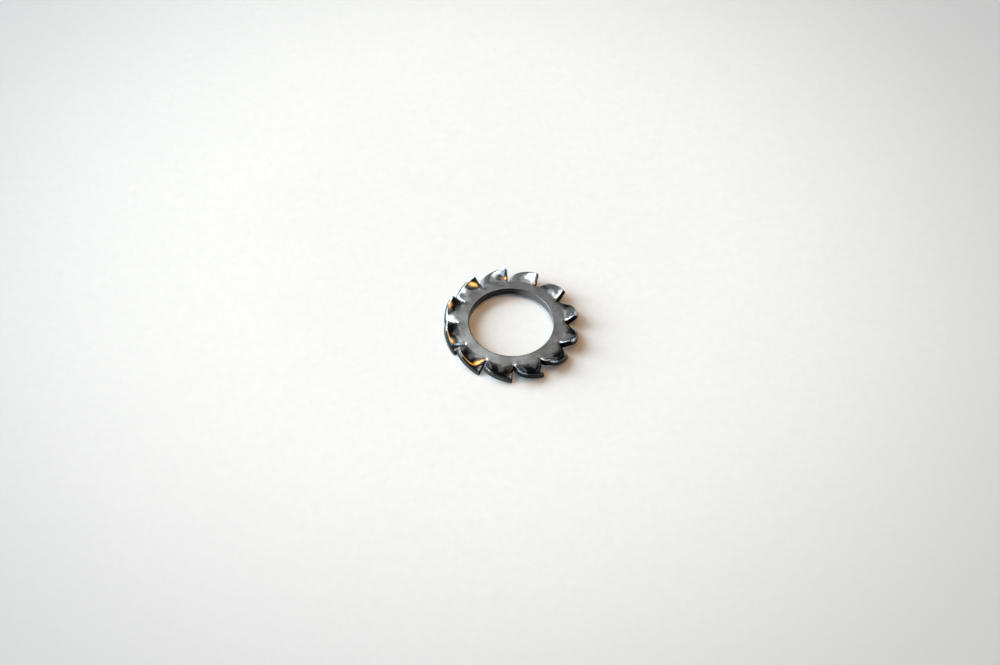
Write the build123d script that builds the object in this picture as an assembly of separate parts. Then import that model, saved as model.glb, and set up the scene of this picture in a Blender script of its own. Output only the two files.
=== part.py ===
from build123d import *
import math
import os

import numpy

# External tooth lock washer of the fan kind: a flat ring stamped from sheet steel, whose rim is
# cut by radial slits into teeth. Each tooth is set with a twist about its own radius, so that
# its leading end stands above the ring and its trailing end hangs below it, next to the
# leading end of the neighbour. Seen from above, the leading end is the clockwise one.
# The origin is the centre of the bore, half way through the ring, and +Z is the axis.

# Driving dimensions, in millimetres
BORE_DIAMETER = 6.6
THICKNESS = 0.7
ROOT_DIAMETER = 8.3             # the circle where the slits end and the twist begins
TOOTH_COUNT = 12
TOOTH_LENGTH = 1.04             # along the upper skin, from the root circle to the rim
RISE = 0.70                     # leading upper corner above the ring's upper face
DROP = 0.52                     # trailing upper corner below the ring's upper face
BEND_BIAS = 1.0                 # 0 bends a tooth evenly from root to rim, 1 bends it near the root
END_CURL = 0.2                  # 0 twists a tooth evenly, more leaves its middle flatter than its ends
LEADING_THICKNESS = 0.48        # the set thins the rim, and most at the raised end
TRAILING_THICKNESS = 0.62
SLIT_ROOT_WIDTH = 0.10
SLIT_RIM_WIDTH = 0.34           # between the lower edges of two neighbours, at the rim
SHEAR_LEAN = 0.11               # how far the sheared walls lean outward from top to bottom
TILT = 0.18                     # how far a raised rim leans further outward, per mm of lift
EDGE_ROLL = 0.09                # rounding that the punch leaves along the upper edges
ROLL_FULLNESS = 0.65            # 0 is a flat bevel, 1 runs smoothly into the faces on both sides
BORE_ROLL = 0.08                # the same along the bore's upper edge
BORE_BREAK = 0.04               # small bevel on the bore's lower edge

# Derived dimensions
ROOT_RADIUS = ROOT_DIAMETER / 2
PITCH = 2 * math.pi / TOOTH_COUNT
MEAN_LIFT = (RISE - DROP) / 2
TWIST_LIFT = (RISE + DROP) / 2
MEAN_RIM = (LEADING_THICKNESS + TRAILING_THICKNESS) / 2
RIM_TAPER = (LEADING_THICKNESS - TRAILING_THICKNESS) / 2
DEGREE = 5                      # of every patch, along a tooth's edges and from root to rim


def onset(v):
    """Share of the full twist at v, where v is 0 at the root circle and 1 at the rim."""
    if v <= 0:
        return 0.0
    return (1 + BEND_BIAS) * v**2 - BEND_BIAS * v**3


def set_height(t):
    """How far the rim is lifted at t, which runs from -1 at the trailing end to 1 at the leading."""
    return MEAN_LIFT + TWIST_LIFT * t * (1 - END_CURL * (1 - t**2))


def skin(t, v, lower=False):
    """Point of a tooth's skin at t, across the tooth, and v, out from the root circle."""
    lift = set_height(t) * onset(v)
    reach = v * TOOTH_LENGTH
    radius = ROOT_RADIUS + math.copysign(math.sqrt(reach**2 - lift**2), v)
    height = THICKNESS / 2 + lift
    half_slit = (SLIT_ROOT_WIDTH + (SLIT_RIM_WIDTH - SLIT_ROOT_WIDTH) * max(v, 0)) / 2
    if lower:
        height -= THICKNESS + (MEAN_RIM + RIM_TAPER * t - THICKNESS) * onset(v)
        radius += (SHEAR_LEAN + TILT * set_height(t)) * v
    else:
        half_slit += SHEAR_LEAN * max(v, 0)
    angle = -t * (PITCH / 2 - half_slit / radius)
    return Vector(radius * math.cos(angle), radius * math.sin(angle), height)


def span(start, end, degree=DEGREE):
    """The evenly spaced values at which a curve of this degree is pinned."""
    return [start + (end - start) * i / degree for i in range(degree + 1)]


def bezier_net(points):
    """Control net of the Bezier patch that passes through a grid of evenly spaced points."""
    grid = numpy.array([[tuple(point) for point in row] for row in points])
    for axis in (0, 1):
        degree = grid.shape[axis] - 1
        basis = numpy.array([
            [math.comb(degree, k) * x**k * (1 - x)**(degree - k) for k in range(degree + 1)]
            for x in span(0, 1, degree)
        ])
        solved = numpy.linalg.solve(basis, numpy.moveaxis(grid, axis, 0).reshape(degree + 1, -1))
        shape = numpy.moveaxis(grid, axis, 0).shape
        grid = numpy.moveaxis(solved.reshape(shape), 0, axis)
    return [[Vector(*point) for point in row] for row in grid]


def patch(points):
    """Face through a grid of points. Two patches with the same border points share the border."""
    return Face.make_bezier_surface(bezier_net(points))


def curve(points):
    """Edge through a row of points, the same curve as the border of a patch through them."""
    return Edge.make_bezier(*[pair[0] for pair in bezier_net([(p, p) for p in points])])


def inset_t(v):
    """Where the flat of the upper skin stops short of a tooth's end, to leave the edge roll."""
    half_width = (ROOT_RADIUS + v * TOOTH_LENGTH) * PITCH / 2
    return 1 - EDGE_ROLL / half_width


INNER_V = -EDGE_ROLL / TOOTH_LENGTH
OUTER_V = 1 - EDGE_ROLL / TOOTH_LENGTH


def upper_skin(t_share, v):
    """Point of the upper skin inside the edge rolls, with t_share from -1 to 1 across it."""
    return skin(t_share * inset_t(v), v)


def edge_faces(inner, corner, bottom):
    """The rolled upper edge and the sheared wall under it, from three rows of points."""
    shoulder = [a + (b - a).normalized() * EDGE_ROLL for a, b in zip(corner, bottom)]
    middle = []
    for start, peak, end in zip(inner, corner, shoulder):
        chord = (start + end) / 2
        middle.append(chord + (peak - chord) * ROLL_FULLNESS / 2)
    return [patch([inner, middle, shoulder]), patch([shoulder, bottom])]


def tooth_faces():
    """The open skin of one tooth, centred on the +X axis."""
    faces = [
        patch([[upper_skin(t, v) for t in span(-1, 1)] for v in span(INNER_V, OUTER_V)]),
        patch([[skin(t, v, lower=True) for t in span(-1, 1)] for v in span(0, 1)]),
    ]
    for end in (-1, 1):
        faces += edge_faces(
            [upper_skin(end, v) for v in span(INNER_V, OUTER_V)],
            [skin(end, v) for v in span(0, 1)],
            [skin(end, v, lower=True) for v in span(0, 1)],
        )
    faces += edge_faces(
        [upper_skin(t, OUTER_V) for t in span(-1, 1)],
        [skin(t, 1) for t in span(-1, 1)],
        [skin(t, 1, lower=True) for t in span(-1, 1)],
    )
    return faces


def slit_arc(start, height):
    """Points across the root of the slit past the leading end, from start to its mirror."""
    radius = math.hypot(start.X, start.Y)
    first = math.atan2(start.Y, start.X)
    return [
        Vector(radius * math.cos(a), radius * math.sin(a), height)
        for a in span(first, -PITCH - first)
    ]


def slit_rows():
    """The three rows of points around the closed end of a slit: inner, corner and bottom."""
    top = THICKNESS / 2
    root = skin(1, 0)
    return slit_arc(upper_skin(1, INNER_V), top), slit_arc(root, top), slit_arc(root, -top)


def ring_face(tooth_edge, slit_edge, height, bore_radius):
    """A flat face of the ring, whose rim follows the roots of the teeth and the slits."""
    rim = []
    for turn in turns():
        rim += [turn * tooth_edge, turn * slit_edge]
    bore = Wire.make_circle(bore_radius, Plane.XY.offset(height))
    return Face(Wire(rim), [bore])


def turns():
    """The rotation that carries the first tooth to each of the teeth."""
    return [Rot(0, 0, -math.degrees(PITCH) * i) for i in range(TOOTH_COUNT)]


def lock_washer():
    """The whole washer as one solid."""
    top = THICKNESS / 2
    bore_radius = BORE_DIAMETER / 2
    inner, corner, bottom = slit_rows()
    one_tooth = tooth_faces() + edge_faces(inner, corner, bottom)
    faces = [turn * face for turn in turns() for face in one_tooth]
    upper_root = curve([upper_skin(t, INNER_V) for t in span(-1, 1)])
    lower_root = curve([skin(t, 0, lower=True) for t in span(-1, 1)])
    faces.append(ring_face(upper_root, curve(inner), top, bore_radius))
    faces.append(ring_face(lower_root, curve(bottom), -top, bore_radius))
    bore_edge = Edge.make_circle(bore_radius, Plane.XY.offset(-top))
    faces.append(Face.extrude(bore_edge, (0, 0, THICKNESS)))
    washer = Solid(Shell(faces))
    bore_rims = washer.edges().filter_by(GeomType.CIRCLE).sort_by(Axis.Z)
    washer = washer.fillet(BORE_ROLL, [bore_rims[-1]])
    lower_rim = washer.edges().filter_by(GeomType.CIRCLE).sort_by(Axis.Z)[0]
    return washer.chamfer(BORE_BREAK, None, [lower_rim])


os.makedirs("parts", exist_ok=True)
washer = lock_washer()
washer.label = "lock_washer"
export_step(washer, "parts/lock_washer.step")
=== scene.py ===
import math

import bpy
import numpy as np
from mathutils import Matrix, Vector


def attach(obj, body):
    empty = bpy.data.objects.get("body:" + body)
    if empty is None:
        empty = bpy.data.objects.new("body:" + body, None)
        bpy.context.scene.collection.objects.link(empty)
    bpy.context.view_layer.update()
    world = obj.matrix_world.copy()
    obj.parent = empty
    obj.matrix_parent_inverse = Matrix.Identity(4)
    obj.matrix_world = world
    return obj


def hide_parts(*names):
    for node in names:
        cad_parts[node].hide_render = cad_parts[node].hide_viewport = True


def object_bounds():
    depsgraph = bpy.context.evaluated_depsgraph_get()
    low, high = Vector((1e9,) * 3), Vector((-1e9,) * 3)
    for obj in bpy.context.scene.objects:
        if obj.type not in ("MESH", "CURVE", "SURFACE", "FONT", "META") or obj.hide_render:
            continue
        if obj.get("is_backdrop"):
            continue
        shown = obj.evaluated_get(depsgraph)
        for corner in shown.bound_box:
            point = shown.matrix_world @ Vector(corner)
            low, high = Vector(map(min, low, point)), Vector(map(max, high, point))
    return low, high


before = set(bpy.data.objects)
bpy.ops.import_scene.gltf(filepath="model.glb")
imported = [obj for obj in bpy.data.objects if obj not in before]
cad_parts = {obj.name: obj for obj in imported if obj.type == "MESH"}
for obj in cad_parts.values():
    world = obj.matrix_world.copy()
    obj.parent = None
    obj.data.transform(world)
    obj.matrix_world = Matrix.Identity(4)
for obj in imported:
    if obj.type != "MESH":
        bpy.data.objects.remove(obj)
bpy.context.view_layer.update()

# A tooth lock washer: a ring stamped from sheet steel, whose rim is slit into teeth, and each
# tooth is set with a twist about its own radius. It is drawn as one closed skin, a grid of rows
# that run round the axis. Lengths are in millimetres until a mesh is made.
MM = 0.001
TAU = 2 * math.pi

# The stamped blank and the set of its teeth, as in the solid
TEETH = 12
PITCH = TAU / TEETH
BORE_RADIUS = 3.3
ROOT_RADIUS = 4.15              # the circle where the slits end and the twist begins
THICKNESS = 0.7
TOP = THICKNESS / 2
TOOTH_LENGTH = 1.04             # along the upper skin, from the root circle to the rim
RISE = 0.70                     # raised upper corner above the ring's upper face
DROP = 0.52                     # low upper corner below the ring's upper face
BEND_LENGTH = 0.16              # share of a tooth's length in which its twist sets in
END_CURL = 0.22                 # 0 twists a tooth evenly, more leaves its middle flatter
LEADING_THICKNESS = 0.48        # the set thins the rim, and most at the raised end
TRAILING_THICKNESS = 0.62
SLIT_ROOT_WIDTH = 0.10
SLIT_RIM_WIDTH = 0.34
SHEAR_LEAN = 0.11               # how far the sheared walls lean outward from top to bottom
TILT = 0.18                     # how far a raised rim leans further outward, per mm of lift
SET_REACH = 0.9                 # share of its length that a set tooth still reaches outward

# Finer traces of the press, for the eye alone
END_ROLL_WIDTH = 0.30           # the rolled upper edge is as wide as this at a tooth's ends,
RIM_ROLL_WIDTH = 0.17           # along its rim,
ROOT_ROLL_WIDTH = 0.24          # and round the slits' roots
ROLL_DEPTH = 0.13
BORE_ROLL = 0.065
BORE_BREAK = 0.035              # small bevel on the bore's lower edge
LOWER_EDGE = 0.025
CORNER_RADIUS = 0.10            # of a tooth's corners, seen from above
CORNER_SPARE = 0.02             # least radius that is left inside the rolled edge
CROWN = 0.05                    # how far the ring rises towards the bore, per mm
STRAIN_LIFT = 0.09              # pull of the set round a slit's root, 1 mm from its tip
STRAIN_REACH = 0.34
STRAIN_BLUNTNESS = 0.03
BURNISH_SHARE = 0.30            # how much of the cut is burnished before it tears
TORN_BACK = 0.018               # how far the torn band falls back
TORN_STEP = 0.12                # share of the cut in which it does
RIPPLE = 0.004                  # height of each of the sines along the torn band
RIPPLE_WAVES = ((211, 0.4), (347, 2.1), (503, 4.0))     # waves all round, and the phase
SHADE_TURN = 328.0                # degrees round the axis, where the cuts get the blackest painted shade
PALE_TURN = 40.2                # degrees round the axis, where the bore's wall is painted paler, a painted reflection

# The grid: the teeth's rows start on the base circle. Columns go to half a slit's root, the
# side and the corner on both halves of a tooth, and to the rim between them.
BASE_RADIUS = 3.80
SLIT, SIDE, CORNER, RIM = 6, 20, 6, 34
WEB_ROWS, ROLL_ROWS, CUT_ROWS, LIP_ROWS = 25, 8, 11, 3
UNDER_ROWS, BORE_ROWS, BORE_ROLL_ROWS = 18, 7, 5
UPPER_RINGS = (0, 0.33, 0.67)   # shares of the way from the bore's rolled edge to the base circle
UNDER_RINGS = (3.62, 3.46, BORE_RADIUS + BORE_BREAK)

rng = np.random.default_rng(11)


def per_tooth(spread):
    """One small seeded departure from the drawing for each tooth."""
    return rng.uniform(-spread, spread, TEETH)


RISES = RISE + per_tooth(0.030)
DROPS = DROP + per_tooth(0.030)
TURNS = per_tooth(0.010)
STRETCHES = per_tooth(0.012)
MEAN_LIFTS = (RISES - DROPS) / 2
TWIST_LIFTS = (RISES + DROPS) / 2


def smooth(x, low, high):
    """Goes from 0 at low to 1 at high along the cubic 3x^2 - 2x^3."""
    x = np.clip((x - low) / (high - low), 0, 1)
    return x * x * (3 - 2 * x)


# The washer's skin --------------------------------------------------------------------------

def onset(v):
    """Share of the twist: nothing inside the root circle, then a hyperbola that leaves it level,
    soon runs straight and comes to 1 at the rim."""
    v = np.maximum(v, 0)
    return (np.hypot(v, BEND_LENGTH) - BEND_LENGTH) / (math.hypot(1, BEND_LENGTH) - BEND_LENGTH)


def crown(radius):
    """How far the ring rises towards the bore: a straight cone from the root circle inward."""
    return CROWN * np.maximum(ROOT_RADIUS - radius, 0)


def half_slit(v):
    """Half the slit's width, opening in a straight line from root to rim."""
    return (SLIT_ROOT_WIDTH + (SLIT_RIM_WIDTH - SLIT_ROOT_WIDTH) * np.maximum(v, 0)) / 2


def across(u, v):
    """Turns a distance u in from a tooth's cut end into t, which is 1 at that end and 0
    mid-tooth: one less u's share of half the tooth's width at v."""
    radius = ROOT_RADIUS + TOOTH_LENGTH * np.where(v > 0, SET_REACH * v, v)
    return 1 - u / (radius * PITCH / 2 - half_slit(v))


def strain(t, v, radius):
    """The small pull of the set round a slit's root, as at the tip of a tear: the square root of
    the distance r from the tip, times the sine of half the angle from the inward direction, up
    on the raised side and down on the low side, and dying away along a bell curve in r."""
    aside = np.maximum((1 - np.abs(t)) * radius * PITCH / 2 + SLIT_ROOT_WIDTH / 2, 0)
    out = v * TOOTH_LENGTH
    r = np.sqrt(aside**2 + out**2 + STRAIN_BLUNTNESS**2)
    pull = STRAIN_LIFT * np.sqrt(r) * np.sin(np.arctan2(aside, -out) / 2)
    return np.sign(t) * pull * np.exp(-(r / STRAIN_REACH)**2)


def skin(t, v, tooth, lower=False):
    """A tooth's skin over t, from its low end to its raised end, and v, from root to rim. The
    height is a twist in t, a straight line that curls at both ends as t cubed, times the onset
    in v. The reach outward is what is left of the tooth's length, and the turn round the axis
    is t times half a pitch less half a slit. The lower skin lies under it by the sheet, which
    the set thins, and leans outward."""
    mean, twist = MEAN_LIFTS[tooth], TWIST_LIFTS[tooth]
    lift = (mean + twist * t * (1 - END_CURL * (1 - t**2))) * onset(v)
    reach = v * TOOTH_LENGTH * (1 + STRETCHES[tooth] * smooth(v, 0, 1))
    radius = ROOT_RADIUS + np.sign(v) * np.sqrt(np.maximum(reach**2 - lift**2, 0))
    height = TOP + lift + strain(t, v, radius) + crown(radius)
    gap = half_slit(v)
    if lower:
        rim = (LEADING_THICKNESS + TRAILING_THICKNESS) / 2
        taper = (LEADING_THICKNESS - TRAILING_THICKNESS) / 2
        height = height - THICKNESS - (rim + taper * t - THICKNESS) * onset(v)
        radius = radius + (SHEAR_LEAN + TILT * (mean + twist * t)) * v
    else:
        gap = gap + SHEAR_LEAN * np.maximum(v, 0)
    turn = TURNS[tooth] * smooth(v, 0, 1) - t * (PITCH / 2 - gap / radius) - tooth * PITCH
    return np.stack([radius * np.cos(turn), radius * np.sin(turn), height], -1)


# The outline that the punch cuts ------------------------------------------------------------

def whole_tooth(half):
    """The t of a tooth's columns from those of its raised half: the low half, the rim between,
    and the raised half. The last column is left out, as it is the next tooth's first."""
    rim = np.linspace(-half[-1], half[-1], RIM + 1)[1:-1]
    return np.concatenate([-half, rim, half[::-1]])[:-1]


def outline(inset, rim_inset, root_inset):
    """The cut outline of one tooth, moved in by inset at its ends, by rim_inset at its rim and
    by root_inset round the slits' roots: half a slit's round root, up the low end, round the
    corner, along the rim, and down the raised end to the next slit. Returns t and v."""
    middle = SLIT_ROOT_WIDTH / 2
    radius = max(CORNER_RADIUS, inset + CORNER_SPARE)
    arc = np.linspace(-TAU / 4, 0, SLIT + 1)[:-1]
    root_u = -middle + (middle + inset) * np.cos(arc)
    root_y = middle + (middle + root_inset) * np.sin(arc)
    share = np.linspace(0, 1, SIDE + 1)[:-1]
    closer_at_root = share * (0.6 + 0.4 * share)
    side_y = middle + (TOOTH_LENGTH - radius - middle) * closer_at_root
    bend = np.linspace(0, TAU / 4, CORNER + 1)
    corner_u = radius - (radius - inset) * np.cos(bend)
    corner_y = TOOTH_LENGTH - radius + (radius - rim_inset) * np.sin(bend)
    half_u = np.concatenate([root_u, np.full(SIDE, inset), corner_u])
    half_v = np.concatenate([root_y, side_y, corner_y]) / TOOTH_LENGTH
    rim_v = np.full(RIM - 1, half_v[-1])
    v = np.concatenate([half_v, rim_v, half_v[::-1]])[:-1]
    return whole_tooth(across(half_u, half_v)), v


COLUMNS = len(outline(0, 0, 0)[0])
TOOTH_OF = np.repeat(np.arange(TEETH), COLUMNS)


def all_round(values):
    """The same row of values for every tooth."""
    return np.tile(values, TEETH)


def outline_points(insets, lower=False):
    """The outline's points on the upper or lower skin, for all teeth."""
    t, v = outline(*insets)
    return skin(all_round(t), all_round(v), TOOTH_OF, lower)


def base_t():
    """Where each column starts on the base circle, as t. Seen from the slit's middle, the root's
    columns take the first 0.34 mm, the end's columns go on to 0.62 and the corner's to 0.68, and
    the rim's columns share the rest, so that no column crosses another on its way out."""
    away = np.interp(np.arange(SLIT + SIDE + CORNER + 1),
                     [0, SLIT, SLIT + SIDE, SLIT + SIDE + CORNER], [0, 0.34, 0.62, 0.68])
    half, middle = BASE_RADIUS * PITCH / 2, SLIT_ROOT_WIDTH / 2
    return whole_tooth(1 - (away - middle) / (half - middle))


def ring_row(radius, height):
    """A circle of points at one radius, as high as the crown is above height, with each point
    at its column's turn on the base circle."""
    half_tooth = PITCH / 2 - SLIT_ROOT_WIDTH / 2 / BASE_RADIUS
    turn = -all_round(base_t()) * half_tooth - TOOTH_OF * PITCH
    height = height + crown(radius) + 0 * turn
    return np.stack([radius * np.cos(turn), radius * np.sin(turn), height], -1)


def web_rows(insets, shares, lower=False):
    """Rows of a tooth's flat between the base circle and the inset outline. Each column is a
    straight line in t and v, walked by shares from 0 to 1."""
    start_t, start_v = base_t(), (BASE_RADIUS - ROOT_RADIUS) / TOOTH_LENGTH
    t, v = outline(*insets)
    return [skin(all_round(start_t + (t - start_t) * share),
                 all_round(start_v + (v - start_v) * share), TOOTH_OF, lower) for share in shares]


def bend_rows(start, peak, end, count):
    """Rows along the parabola that leaves start towards peak and arrives at end from it."""
    return [(1 - q)**2 * start + 2 * q * (1 - q) * peak + q**2 * end
            for q in np.linspace(0, 1, count + 1)[1:]]


def roll_rows(insets, fall, count):
    """Rows of the rolled upper edge: each lies on the skin at (1 - q)^2 of the full insets, and
    then falls along the wall by q^2 of the roll's depth."""
    return [outline_points([inset * (1 - q)**2 for inset in insets]) + fall * ROLL_DEPTH * q**2
            for q in np.linspace(0, 1, count + 1)[1:]]


def cut_rows(shoulder, bottom, outward, count):
    """Rows down the sheared wall: a straight burnished band, then a torn band that falls back
    by a few hundredths, with a ripple of three sines along the cut."""
    along = np.arange(len(shoulder)) / len(shoulder) * TAU
    ripple = sum(np.sin(along * waves + phase) for waves, phase in RIPPLE_WAVES)
    rows = []
    for share in np.linspace(0, 1, count + 2)[1:-1]:
        torn = smooth(share, BURNISH_SHARE, BURNISH_SHARE + TORN_STEP)
        push = (RIPPLE * ripple - TORN_BACK) * torn * (1 - smooth(share, 0.9, 1.0))
        rows.append(shoulder + (bottom - shoulder) * share + outward * push[:, None])
    return rows


# One closed skin ----------------------------------------------------------------------------

def unit(vectors):
    """Vectors of length one."""
    return vectors / np.linalg.norm(vectors, axis=-1, keepdims=True)


def washer_rows():
    """Every row of the closed skin, from the bore's rolled edge out over the top, down the cut,
    back below and up the bore, with the kind of each row."""
    rows, kinds = [], []

    def add(kind, new):
        rows.extend(new)
        kinds.extend([kind] * len(new))

    bore_rim = BORE_RADIUS + BORE_ROLL
    add("ring", [ring_row(bore_rim + (BASE_RADIUS - bore_rim) * share, TOP)
                 for share in UPPER_RINGS])
    roll = (END_ROLL_WIDTH, RIM_ROLL_WIDTH, ROOT_ROLL_WIDTH)
    add("web", web_rows(roll, np.linspace(0, 1, WEB_ROWS)))

    corner = outline_points((0, 0, 0))
    bottom = outline_points((0, 0, 0), lower=True)
    fall = unit(bottom - corner)
    along = np.roll(corner, -1, axis=0) - np.roll(corner, 1, axis=0)
    cut_end = bottom - fall * LOWER_EDGE
    add("roll", roll_rows(roll, fall, ROLL_ROWS))
    add("cut", cut_rows(corner + fall * ROLL_DEPTH, cut_end, unit(np.cross(fall, along)), CUT_ROWS))

    lip = (LOWER_EDGE, LOWER_EDGE, LOWER_EDGE)
    add("lip", bend_rows(cut_end, bottom, outline_points(lip, lower=True), LIP_ROWS))
    add("under", web_rows(lip, np.linspace(1, 0, UNDER_ROWS + 1)[1:], lower=True))
    add("under", [ring_row(radius, -TOP) for radius in UNDER_RINGS])

    heights = np.linspace(BORE_BREAK - TOP, TOP - BORE_ROLL, BORE_ROWS)
    add("bore", [ring_row(BORE_RADIUS, height) for height in heights])
    bore_bend = bend_rows(rows[-1], ring_row(BORE_RADIUS, TOP), rows[0], BORE_ROLL_ROWS + 1)
    add("bore_roll", bore_bend[:-1])
    return np.array(rows), np.array(kinds)


def closed_mesh(name, rows):
    """A mesh of the rows of points, joined to a closed skin both along and across the rows. The
    rows go outward over the top and their points clockwise, so that the faces point out."""
    count, around = rows.shape[:2]
    i, j = np.meshgrid(np.arange(count), np.arange(around), indexing="ij")
    i2, j2 = (i + 1) % count, (j + 1) % around
    quads = np.stack([i * around + j2, i2 * around + j2, i2 * around + j, i * around + j], -1)
    quads = quads.reshape(-1, 4)
    mesh = bpy.data.meshes.new(name)
    mesh.vertices.add(count * around)
    mesh.vertices.foreach_set("co", (rows * MM).astype(np.float32).ravel())
    mesh.loops.add(quads.size)
    mesh.loops.foreach_set("vertex_index", quads.ravel().astype(np.int32))
    mesh.polygons.add(len(quads))
    mesh.polygons.foreach_set("loop_start", np.arange(0, quads.size, 4, dtype=np.int32))
    mesh.polygons.foreach_set("use_smooth", np.ones(len(quads), bool))
    mesh.update(calc_edges=True)
    mesh.validate()
    return mesh


def washer():
    """The washer's skin with the marks that its finish reads. Cut, bore, rolled and rim are 1 on
    those places. Curl goes from 0 on the ring to 1 on the teeth, and lead from 0 mid-tooth to 1
    near the raised end. Depth is -1 on the faces, 0 where the rolled edge ends and the cut
    begins, and 1 at the cut's lower edge, and the same down the bore. The shade side mark is 1 on
    the side where the cuts get the blackest painted shade, and falls off with the cosine of the
    turn away from it."""
    rows, kinds = washer_rows()
    mesh = closed_mesh("tooth_lock_washer", rows)

    depth = np.full(len(rows), -1.0)
    depth[kinds == "roll"] = np.linspace(-1, 0, (kinds == "roll").sum() + 1)[1:]
    depth[kinds == "cut"] = np.linspace(0, 1, (kinds == "cut").sum() + 1)[1:]
    depth[kinds == "lip"] = 1
    depth[kinds == "bore"] = np.linspace(1, 0, (kinds == "bore").sum())
    rim = np.zeros(COLUMNS)
    rim_start = SLIT + SIDE + CORNER // 2
    rim[rim_start:COLUMNS - rim_start] = 1
    lead = smooth(outline(0, 0, 0)[0], 0.20, 0.75)
    radius = np.hypot(rows[..., 0], rows[..., 1])
    turn = np.arctan2(rows[..., 1], rows[..., 0])

    marks = {
        "cut": np.isin(kinds, ("cut", "lip"))[:, None],
        "bore": np.isin(kinds, ("bore", "bore_roll"))[:, None],
        "rolled": np.isin(kinds, ("roll", "bore_roll", "lip"))[:, None],
        "depth": depth[:, None],
        "rim": all_round(rim),
        "lead": all_round(lead),
        "curl": smooth(radius, ROOT_RADIUS - 0.05, ROOT_RADIUS + 0.55),
        # painted shade: 1 on the side of the washer where the cuts are painted blackest
        "shade_side": smooth(np.cos(turn - math.radians(SHADE_TURN)), 0.40, 0.90),
    }
    for name, values in marks.items():
        mark = mesh.attributes.new(name, "FLOAT", "POINT")
        values = np.broadcast_to(values, radius.shape).astype(np.float32)
        mark.data.foreach_set("value", values.ravel())
    piece = bpy.data.objects.new("tooth_lock_washer", mesh)
    bpy.context.scene.collection.objects.link(piece)
    return piece


# Finishes -----------------------------------------------------------------------------------

class Finish:
    """A material's node tree, with short ways to add and join its nodes."""

    def __init__(self, name):
        self.material = bpy.data.materials.new(name)
        self.material.use_nodes = True
        self.tree = self.material.node_tree
        self.shader = self.tree.nodes["Principled BSDF"]

    def node(self, kind, **settings):
        """A new node with its settings."""
        made = self.tree.nodes.new(kind)
        for key, value in settings.items():
            setattr(made, key, value)
        return made

    def put(self, socket, value):
        """Links an output to the socket, or sets the socket to a number or colour."""
        if isinstance(value, bpy.types.NodeSocket):
            self.tree.links.new(value, socket)
        elif isinstance(value, tuple) and socket.type == "RGBA":
            socket.default_value = (*value, 1)
        else:
            socket.default_value = value

    def give(self, **inputs):
        """Puts values into the shader's inputs, whose names are written with underscores."""
        for name, value in inputs.items():
            self.put(self.shader.inputs[name.replace("_", " ")], value)

    def mark(self, name):
        """A number that the washer's skin carries on its points."""
        return self.node("ShaderNodeAttribute", attribute_name=name).outputs["Fac"]

    def place(self, stretch=(1, 1, 1), turn=0.0):
        """Object coordinates in millimetres, turned about the axis and then stretched."""
        where = self.node("ShaderNodeTexCoord").outputs["Object"]
        made = self.node("ShaderNodeMapping", vector_type="TEXTURE")
        self.put(made.inputs["Vector"], where)
        self.put(made.inputs["Rotation"], (0, 0, -turn))
        self.put(made.inputs["Scale"], tuple(MM / s for s in stretch))
        return made.outputs["Vector"]

    def grain(self, scale, detail, rough, stretch=(1, 1, 1), turn=0.0):
        """Fractal noise with features 1/scale millimetres across."""
        made = self.node("ShaderNodeTexNoise")
        self.put(made.inputs["Vector"], self.place(stretch, turn))
        self.put(made.inputs["Scale"], scale)
        self.put(made.inputs["Detail"], detail)
        self.put(made.inputs["Roughness"], rough)
        return made.outputs["Fac"]

    def measure(self, operation, vector):
        """The distance of a place from a point, or its dot product with a direction."""
        made = self.node("ShaderNodeVectorMath", operation=operation)
        self.put(made.inputs[0], self.place())
        self.put(made.inputs[1], vector)
        return made.outputs["Value"]

    def combine(self, operation, a, b):
        """The sum or another result of two numbers."""
        made = self.node("ShaderNodeMath", operation=operation)
        self.put(made.inputs[0], a)
        self.put(made.inputs[1], b)
        return made.outputs[0]

    def times(self, first, *others):
        """The product of two or more numbers."""
        for other in others:
            first = self.combine("MULTIPLY", first, other)
        return first

    def between(self, value, low, high, start=0.0, end=1.0):
        """Maps value from low..high to start..end with soft ends."""
        made = self.node("ShaderNodeMapRange", interpolation_type="SMOOTHSTEP")
        for name, number in (("Value", value), ("From Min", low), ("From Max", high),
                             ("To Min", start), ("To Max", end)):
            self.put(made.inputs[name], number)
        return made.outputs["Result"]

    def mix(self, share, a, b):
        """Goes from colour a, the node's socket 6, to colour b as share goes from 0 to 1."""
        made = self.node("ShaderNodeMix", data_type="RGBA")
        for index, value in ((0, share), (6, a), (7, b)):
            self.put(made.inputs[index], value)
        return made.outputs[2]

    def mix_number(self, share, a, b):
        """Goes from number a, the node's socket 2, to number b as share goes from 0 to 1."""
        made = self.node("ShaderNodeMix", data_type="FLOAT")
        for index, value in ((0, share), (2, a), (3, b)):
            self.put(made.inputs[index], value)
        return made.outputs[0]

    def bump(self, height, strength, distance):
        """Tilts the surface's shading as if it rose by distance, in millimetres, where height is
        1, to the share that strength gives."""
        made = self.node("ShaderNodeBump")
        self.put(made.inputs["Height"], height)
        self.put(made.inputs["Strength"], strength)
        self.put(made.inputs["Distance"], distance * MM)
        self.give(Normal=made.outputs["Normal"])


def scratches(steel):
    """Two families of fine scratches: stretched noise, kept only near its peaks."""
    first = steel.between(steel.grain(1.0, 1.0, 0.5, (0.5, 30.0, 0.5), 0.5), 0.66, 0.76)
    second = steel.between(steel.grain(1.0, 1.0, 0.5, (0.7, 38.0, 0.7), 1.7), 0.68, 0.78)
    return steel.combine("MAXIMUM", first, second)


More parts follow.
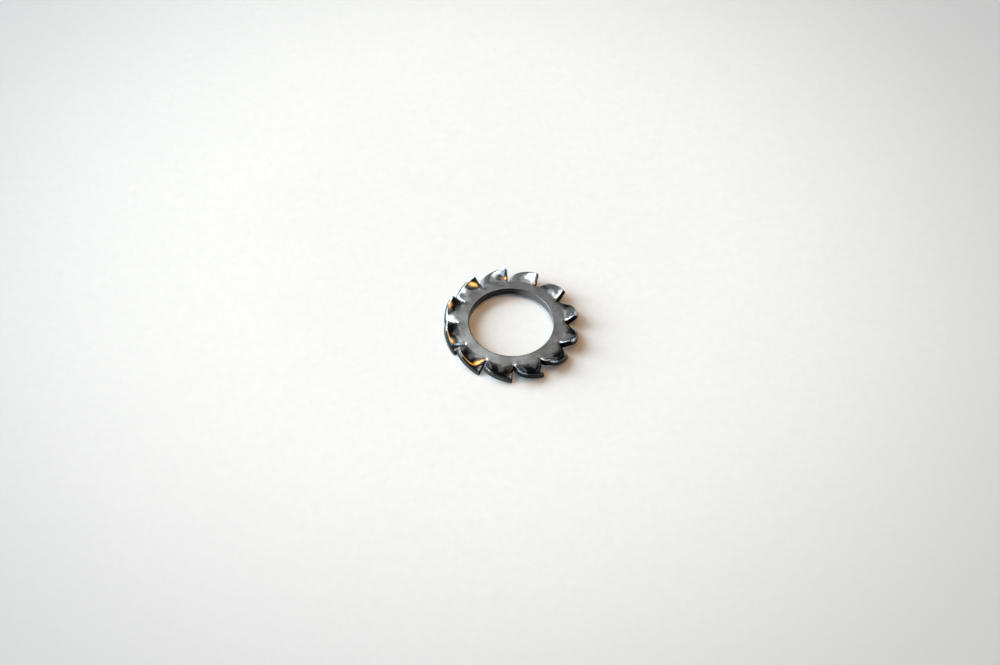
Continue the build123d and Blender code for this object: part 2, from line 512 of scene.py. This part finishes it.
def face_colour(steel, curl, mottle, scratch):
    """Mottled grey, a little darker on the curls, with broad dull clouds and pale scratches."""
    speckle = steel.between(mottle, 0.3, 0.7)
    ring = steel.mix(speckle, (0.46, 0.47, 0.47), (0.54, 0.54, 0.53))
    tooth = steel.mix(speckle, (0.43, 0.43, 0.44), (0.51, 0.51, 0.51))
    clouds = steel.between(steel.grain(0.55, 3.0, 0.5), 0.40, 0.62, 0.0, 0.6)
    dulled = steel.mix(clouds, steel.mix(curl, ring, tooth), (0.20, 0.20, 0.19))
    return steel.mix(steel.times(scratch, 0.20), dulled, (0.58, 0.58, 0.57))


def burnished_colour(steel, rim, streak):
    """The band that the punch slid along: painted near black, a painted shade, but with painted
    blue and white highlights in streaks on the rim near a tooth's raised end."""
    # painted shade: the burnished band is painted near black
    painted_black = steel.mix(streak, (0.006, 0.006, 0.008), (0.024, 0.024, 0.030))
    # painted highlight: blue and white streaks painted on the rim near a tooth's raised end
    painted_glint = steel.mix(steel.between(streak, 0.38, 0.62), (0.10, 0.17, 0.28), (0.78, 0.94, 1.0))
    return steel.mix(steel.times(steel.mark("lead"), rim), painted_black, painted_glint)


def torn_colour(steel, rim, depth, pits):
    """The torn band below it: pitted grey on the rim, with painted shade that blackens it on one
    side, and black painted shade inside the slits and along the lower edge."""
    # painted shade: black inside the slits and along the lower edge
    slit_shade = (0.010, 0.010, 0.010)
    pitted = steel.mix(pits, (0.03, 0.029, 0.026), (0.22, 0.21, 0.19))
    # painted shade: the torn band is painted black on one side of the washer
    side_shade_colour = steel.mix(steel.times(steel.mark("shade_side"), 0.88), pitted, (0.003, 0.003, 0.004))
    return steel.mix(steel.between(depth, 0.80, 0.95), steel.mix(rim, slit_shade, side_shade_colour), slit_shade)


def bore_colour(steel, depth, streak):
    """The bore's wall: painted near black, a painted shade, with a lighter streaked band on top,
    black painted shade below it, and painted paler on one side, a painted reflection."""
    # painted shade: the streaked top band of the bore's wall is near black
    band = steel.mix(streak, (0.004, 0.004, 0.006), (0.026, 0.026, 0.033))
    # painted shade: the lower part of the bore's wall is painted black
    wall = steel.mix(steel.between(depth, 0.35, 0.6), band, (0.006, 0.006, 0.006))
    # painted reflection: the bore's wall is painted paler on one side
    side = math.radians(PALE_TURN)
    toward_side = steel.measure("DOT_PRODUCT", (math.cos(side), math.sin(side), 0.0))
    pale_side_light = steel.between(toward_side, 1.6, 3.0, 0.0, 0.8)
    return steel.mix(pale_side_light, wall, (0.20, 0.20, 0.225))


def washer_steel():
    """Stamped and tumbled spring steel: a satin mottled ring with a little dull oxide on it,
    smoother and barer curls, and on the cuts a burnished band painted dark as a painted shade, with
    painted blue and white highlights, above a rough torn one that carries painted shade too."""
    steel = Finish("washer_steel")
    cut, depth, curl = steel.mark("cut"), steel.mark("depth"), steel.mark("curl")
    rolled, bore, rim = steel.mark("rolled"), steel.mark("bore"), steel.mark("rim")
    mottle = steel.grain(5.0, 5.0, 0.6)
    pits = steel.grain(26.0, 3.0, 0.6)
    streak = steel.grain(1.0, 3.0, 0.6, (9.0, 9.0, 1.2))
    scratch = scratches(steel)
    torn = steel.between(depth, BURNISH_SHARE - 0.05, BURNISH_SHARE + 0.10)

    burnished = burnished_colour(steel, rim, streak)
    # painted shade: the lower half of the rim's rolled edge takes the burnished band's painted
    # black
    rim_roll = steel.times(rim, rolled, steel.between(depth, -0.90, -0.40))
    colour = steel.mix(rim_roll, face_colour(steel, curl, mottle, scratch), burnished)
    cut_colour = steel.mix(torn, burnished, torn_colour(steel, rim, depth, pits))
    colour = steel.mix(cut, colour, cut_colour)
    colour = steel.mix(bore, colour, bore_colour(steel, depth, streak))

    bare = steel.combine("MAXIMUM", curl, steel.combine("MAXIMUM", cut, bore))
    ring_rough = steel.between(mottle, 0.3, 0.7, 0.20, 0.27)
    curl_rough = steel.between(mottle, 0.3, 0.7, 0.12, 0.18)
    rough = steel.mix_number(rolled, steel.mix_number(curl, ring_rough, curl_rough), 0.20)
    torn_rough = steel.between(pits, 0.3, 0.7, 0.38, 0.55)
    rough = steel.mix_number(cut, rough, steel.mix_number(torn, 0.22, torn_rough))
    steel.give(Base_Color=colour, Metallic=steel.mix_number(bare, 0.82, 1.0), Roughness=rough)

    pitting = steel.times(pits, steel.mix_number(cut, 0.35, 1.55))
    height = steel.combine("ADD", steel.times(mottle, 0.6), pitting)
    height = steel.combine("SUBTRACT", height, steel.times(scratch, 0.25))
    height = steel.combine("ADD", height, steel.times(bore, streak))
    steel.bump(height, 0.35, 0.006)
    return steel.material


def pale_card():
    """Pale card: a fine tooth, a faint unevenness, and painted shade: a slow fall in tone away from
    the middle.
    """
    card = Finish("pale_card")
    fibres = card.grain(1.6, 4.0, 0.65)
    tone = card.mix(card.grain(0.12, 3.0, 0.5), (0.862, 0.860, 0.845), (0.890, 0.886, 0.868))
    tone = card.mix(card.between(fibres, 0.3, 0.7, 0.0, 0.35), tone, (0.80, 0.80, 0.795))
    # painted shade: the card is painted darker away from a point beside the washer
    away = card.measure("DISTANCE", (-6.0, 8.0, 0.0))
    tone = card.mix(card.between(away, 18, 60), tone, (0.56, 0.56, 0.565))
    card.give(Base_Color=tone, Roughness=0.85, Specular_IOR_Level=0.0)
    card.bump(fibres, 0.4, 0.03)
    return card.material


# Floor, light and camera --------------------------------------------------------------------

CARD_RINGS = (0.0005, 0.05, 0.3, 1.5)      # radii in metres
CARD_SIDES = 64


def card_floor(height):
    """A flat round card, whose height is the same everywhere: rings of four-sided faces round
    one small middle face."""
    turns = np.arange(CARD_SIDES) / CARD_SIDES * TAU
    radius, turn = np.meshgrid(CARD_RINGS, turns, indexing="ij")
    points = np.stack([radius * np.cos(turn), radius * np.sin(turn), height + 0 * turn], -1)
    count, around = radius.shape
    i, j = np.meshgrid(np.arange(count - 1), np.arange(around), indexing="ij")
    i2, j2 = i + 1, (j + 1) % around
    quads = np.stack([i * around + j, i2 * around + j, i2 * around + j2, i * around + j2], -1)
    faces = quads.reshape(-1, 4).tolist() + [list(range(around))]
    mesh = bpy.data.meshes.new("card_floor")
    mesh.from_pydata(points.reshape(-1, 3).tolist(), [], faces)
    mesh.materials.append(pale_card())
    made = bpy.data.objects.new("card_floor", mesh)
    bpy.context.scene.collection.objects.link(made)
    made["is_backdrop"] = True


CARD_TURN = 10.2      # degrees that the lights and the camera are turned round the washer


def direction(azimuth, elevation):
    """Unit vector at an azimuth and an elevation. The azimuth is counted on the turned card, and
    the camera stands at -90 degrees."""
    a, e = math.radians(azimuth + CARD_TURN), math.radians(elevation)
    return Vector((math.cos(e) * math.cos(a), math.cos(e) * math.sin(a), math.sin(e)))


def soft_light(name, azimuth, elevation, wide, high, radiance, colour, shape="RECTANGLE",
               distance=1.0):
    """A flat light that spans wide by high degrees seen from the washer, at a distance in
    metres."""
    towards = direction(azimuth, elevation)
    data = bpy.data.lights.new(name, "AREA")
    data.shape = shape
    data.size = 2 * distance * math.tan(math.radians(wide / 2))
    data.size_y = 2 * distance * math.tan(math.radians(high / 2))
    area = data.size * data.size_y * (math.pi / 4 if shape == "ELLIPSE" else 1)
    data.energy = radiance * math.pi * area
    data.color = colour
    made = bpy.data.objects.new(name, data)
    made.location = towards * distance
    made.rotation_mode = "QUATERNION"
    made.rotation_quaternion = towards.to_track_quat("Z", "Y")
    made.visible_camera = False
    bpy.context.scene.collection.objects.link(made)


def lights():
    """A window to the left with a dim pane over it and a bluer one beside it, a warm ceiling
    lamp whose glow fades outward, a dim ceiling and walls, and a pale sill and a cool glimmer
    low behind."""
    soft_light("window_left", 178, 33, 32, 48, 8.4, (0.78, 0.925, 1.01))
    soft_light("window_head", 160, 61, 34, 13, 2.8, (0.88, 0.93, 0.94))
    soft_light("window_right", 218, 38, 26, 54, 1.9, (0.62, 0.88, 1.15))
    for name, spread, colour, distance in (("lamp_glow", 40, (0.42, 0.20, 0.05), 1.00),
                                           ("lamp_shade", 29, (3.1, 1.27, 0.105), 0.97),
                                           ("lamp_heart", 19, (1.3, 1.4, 0.75), 0.94)):
        soft_light(name, 292, 71, spread, spread, 1.0, colour, "ELLIPSE", distance)
    soft_light("ceiling", 0, 90, 20, 20, 0.26, (0.98, 1.0, 1.0), "ELLIPSE", 1.05)
    soft_light("far_wall", 137, 59, 50, 30, 0.80, (0.97, 1.0, 0.99))
    soft_light("far_wall_foot", 130, 24, 66, 34, 0.32, (0.95, 1.0, 1.04))
    soft_light("side_wall", 67, 54, 26, 22, 0.20, (1.0, 1.0, 0.97))
    soft_light("near_wall", 306, 16, 84, 18, 0.24, (1.0, 1.0, 0.98))
    soft_light("pale_sill", 153, 7, 26, 15, 3.2, (1.0, 1.0, 1.0))
    soft_light("cool_glimmer", 126, 3, 22, 10, 1.0, (0.25, 0.55, 1.0))


def room():
    """The far room: pale up to 4 degrees above the horizon and dark from 10 degrees up."""
    world = bpy.data.worlds.new("room")
    world.use_nodes = True
    tree = world.node_tree
    towards = tree.nodes.new("ShaderNodeTexCoord").outputs["Generated"]
    split = tree.nodes.new("ShaderNodeSeparateXYZ")
    tree.links.new(towards, split.inputs[0])
    share = tree.nodes.new("ShaderNodeMapRange")
    share.interpolation_type = "SMOOTHSTEP"
    share.inputs["From Min"].default_value = math.sin(math.radians(4))
    share.inputs["From Max"].default_value = math.sin(math.radians(10))
    tree.links.new(split.outputs["Z"], share.inputs["Value"])
    mix = tree.nodes.new("ShaderNodeMix")
    mix.data_type = "RGBA"
    mix.inputs[6].default_value = (0.42, 0.42, 0.43, 1)
    mix.inputs[7].default_value = (0.010, 0.010, 0.012, 1)
    tree.links.new(share.outputs["Result"], mix.inputs["Factor"])
    tree.links.new(mix.outputs[2], tree.nodes["Background"].inputs["Color"])
    bpy.context.scene.world = world


def camera():
    """Looks down on the washer from the front, rolled a little, with the washer's middle just
    right of and above the frame's middle. The focal length and the two offsets are shares of
    the frame's width."""
    elevation, roll, distance = 52.2, math.radians(3.0), 0.150
    focal, offset_right, offset_up = 1.930, 0.0113, 0.0103
    back = direction(-90, elevation)
    level_right = Vector((0, 0, 1)).cross(back).normalized()
    level_up = back.cross(level_right)
    right = level_right * math.cos(roll) + level_up * math.sin(roll)
    up = level_up * math.cos(roll) - level_right * math.sin(roll)
    place = Vector((0, 0, TOP * MM)) + back * distance
    place -= (right * offset_right + up * offset_up) * distance / focal
    data = bpy.data.cameras.new("camera")
    data.sensor_width = 36.0
    data.lens = data.sensor_width * focal
    data.clip_start = 0.005
    data.clip_end = 10.0
    made = bpy.data.objects.new("camera", data)
    turn = Matrix((right, up, back)).transposed()
    made.matrix_world = Matrix.Translation(place) @ turn.to_4x4()
    bpy.context.scene.collection.objects.link(made)
    bpy.context.scene.camera = made


piece = washer()
piece.data.materials.append(washer_steel())
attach(piece, "root")
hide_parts("lock_washer")
card_floor(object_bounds()[0][2])
lights()
room()
camera()
bpy.context.scene.view_settings.view_transform = "Standard"
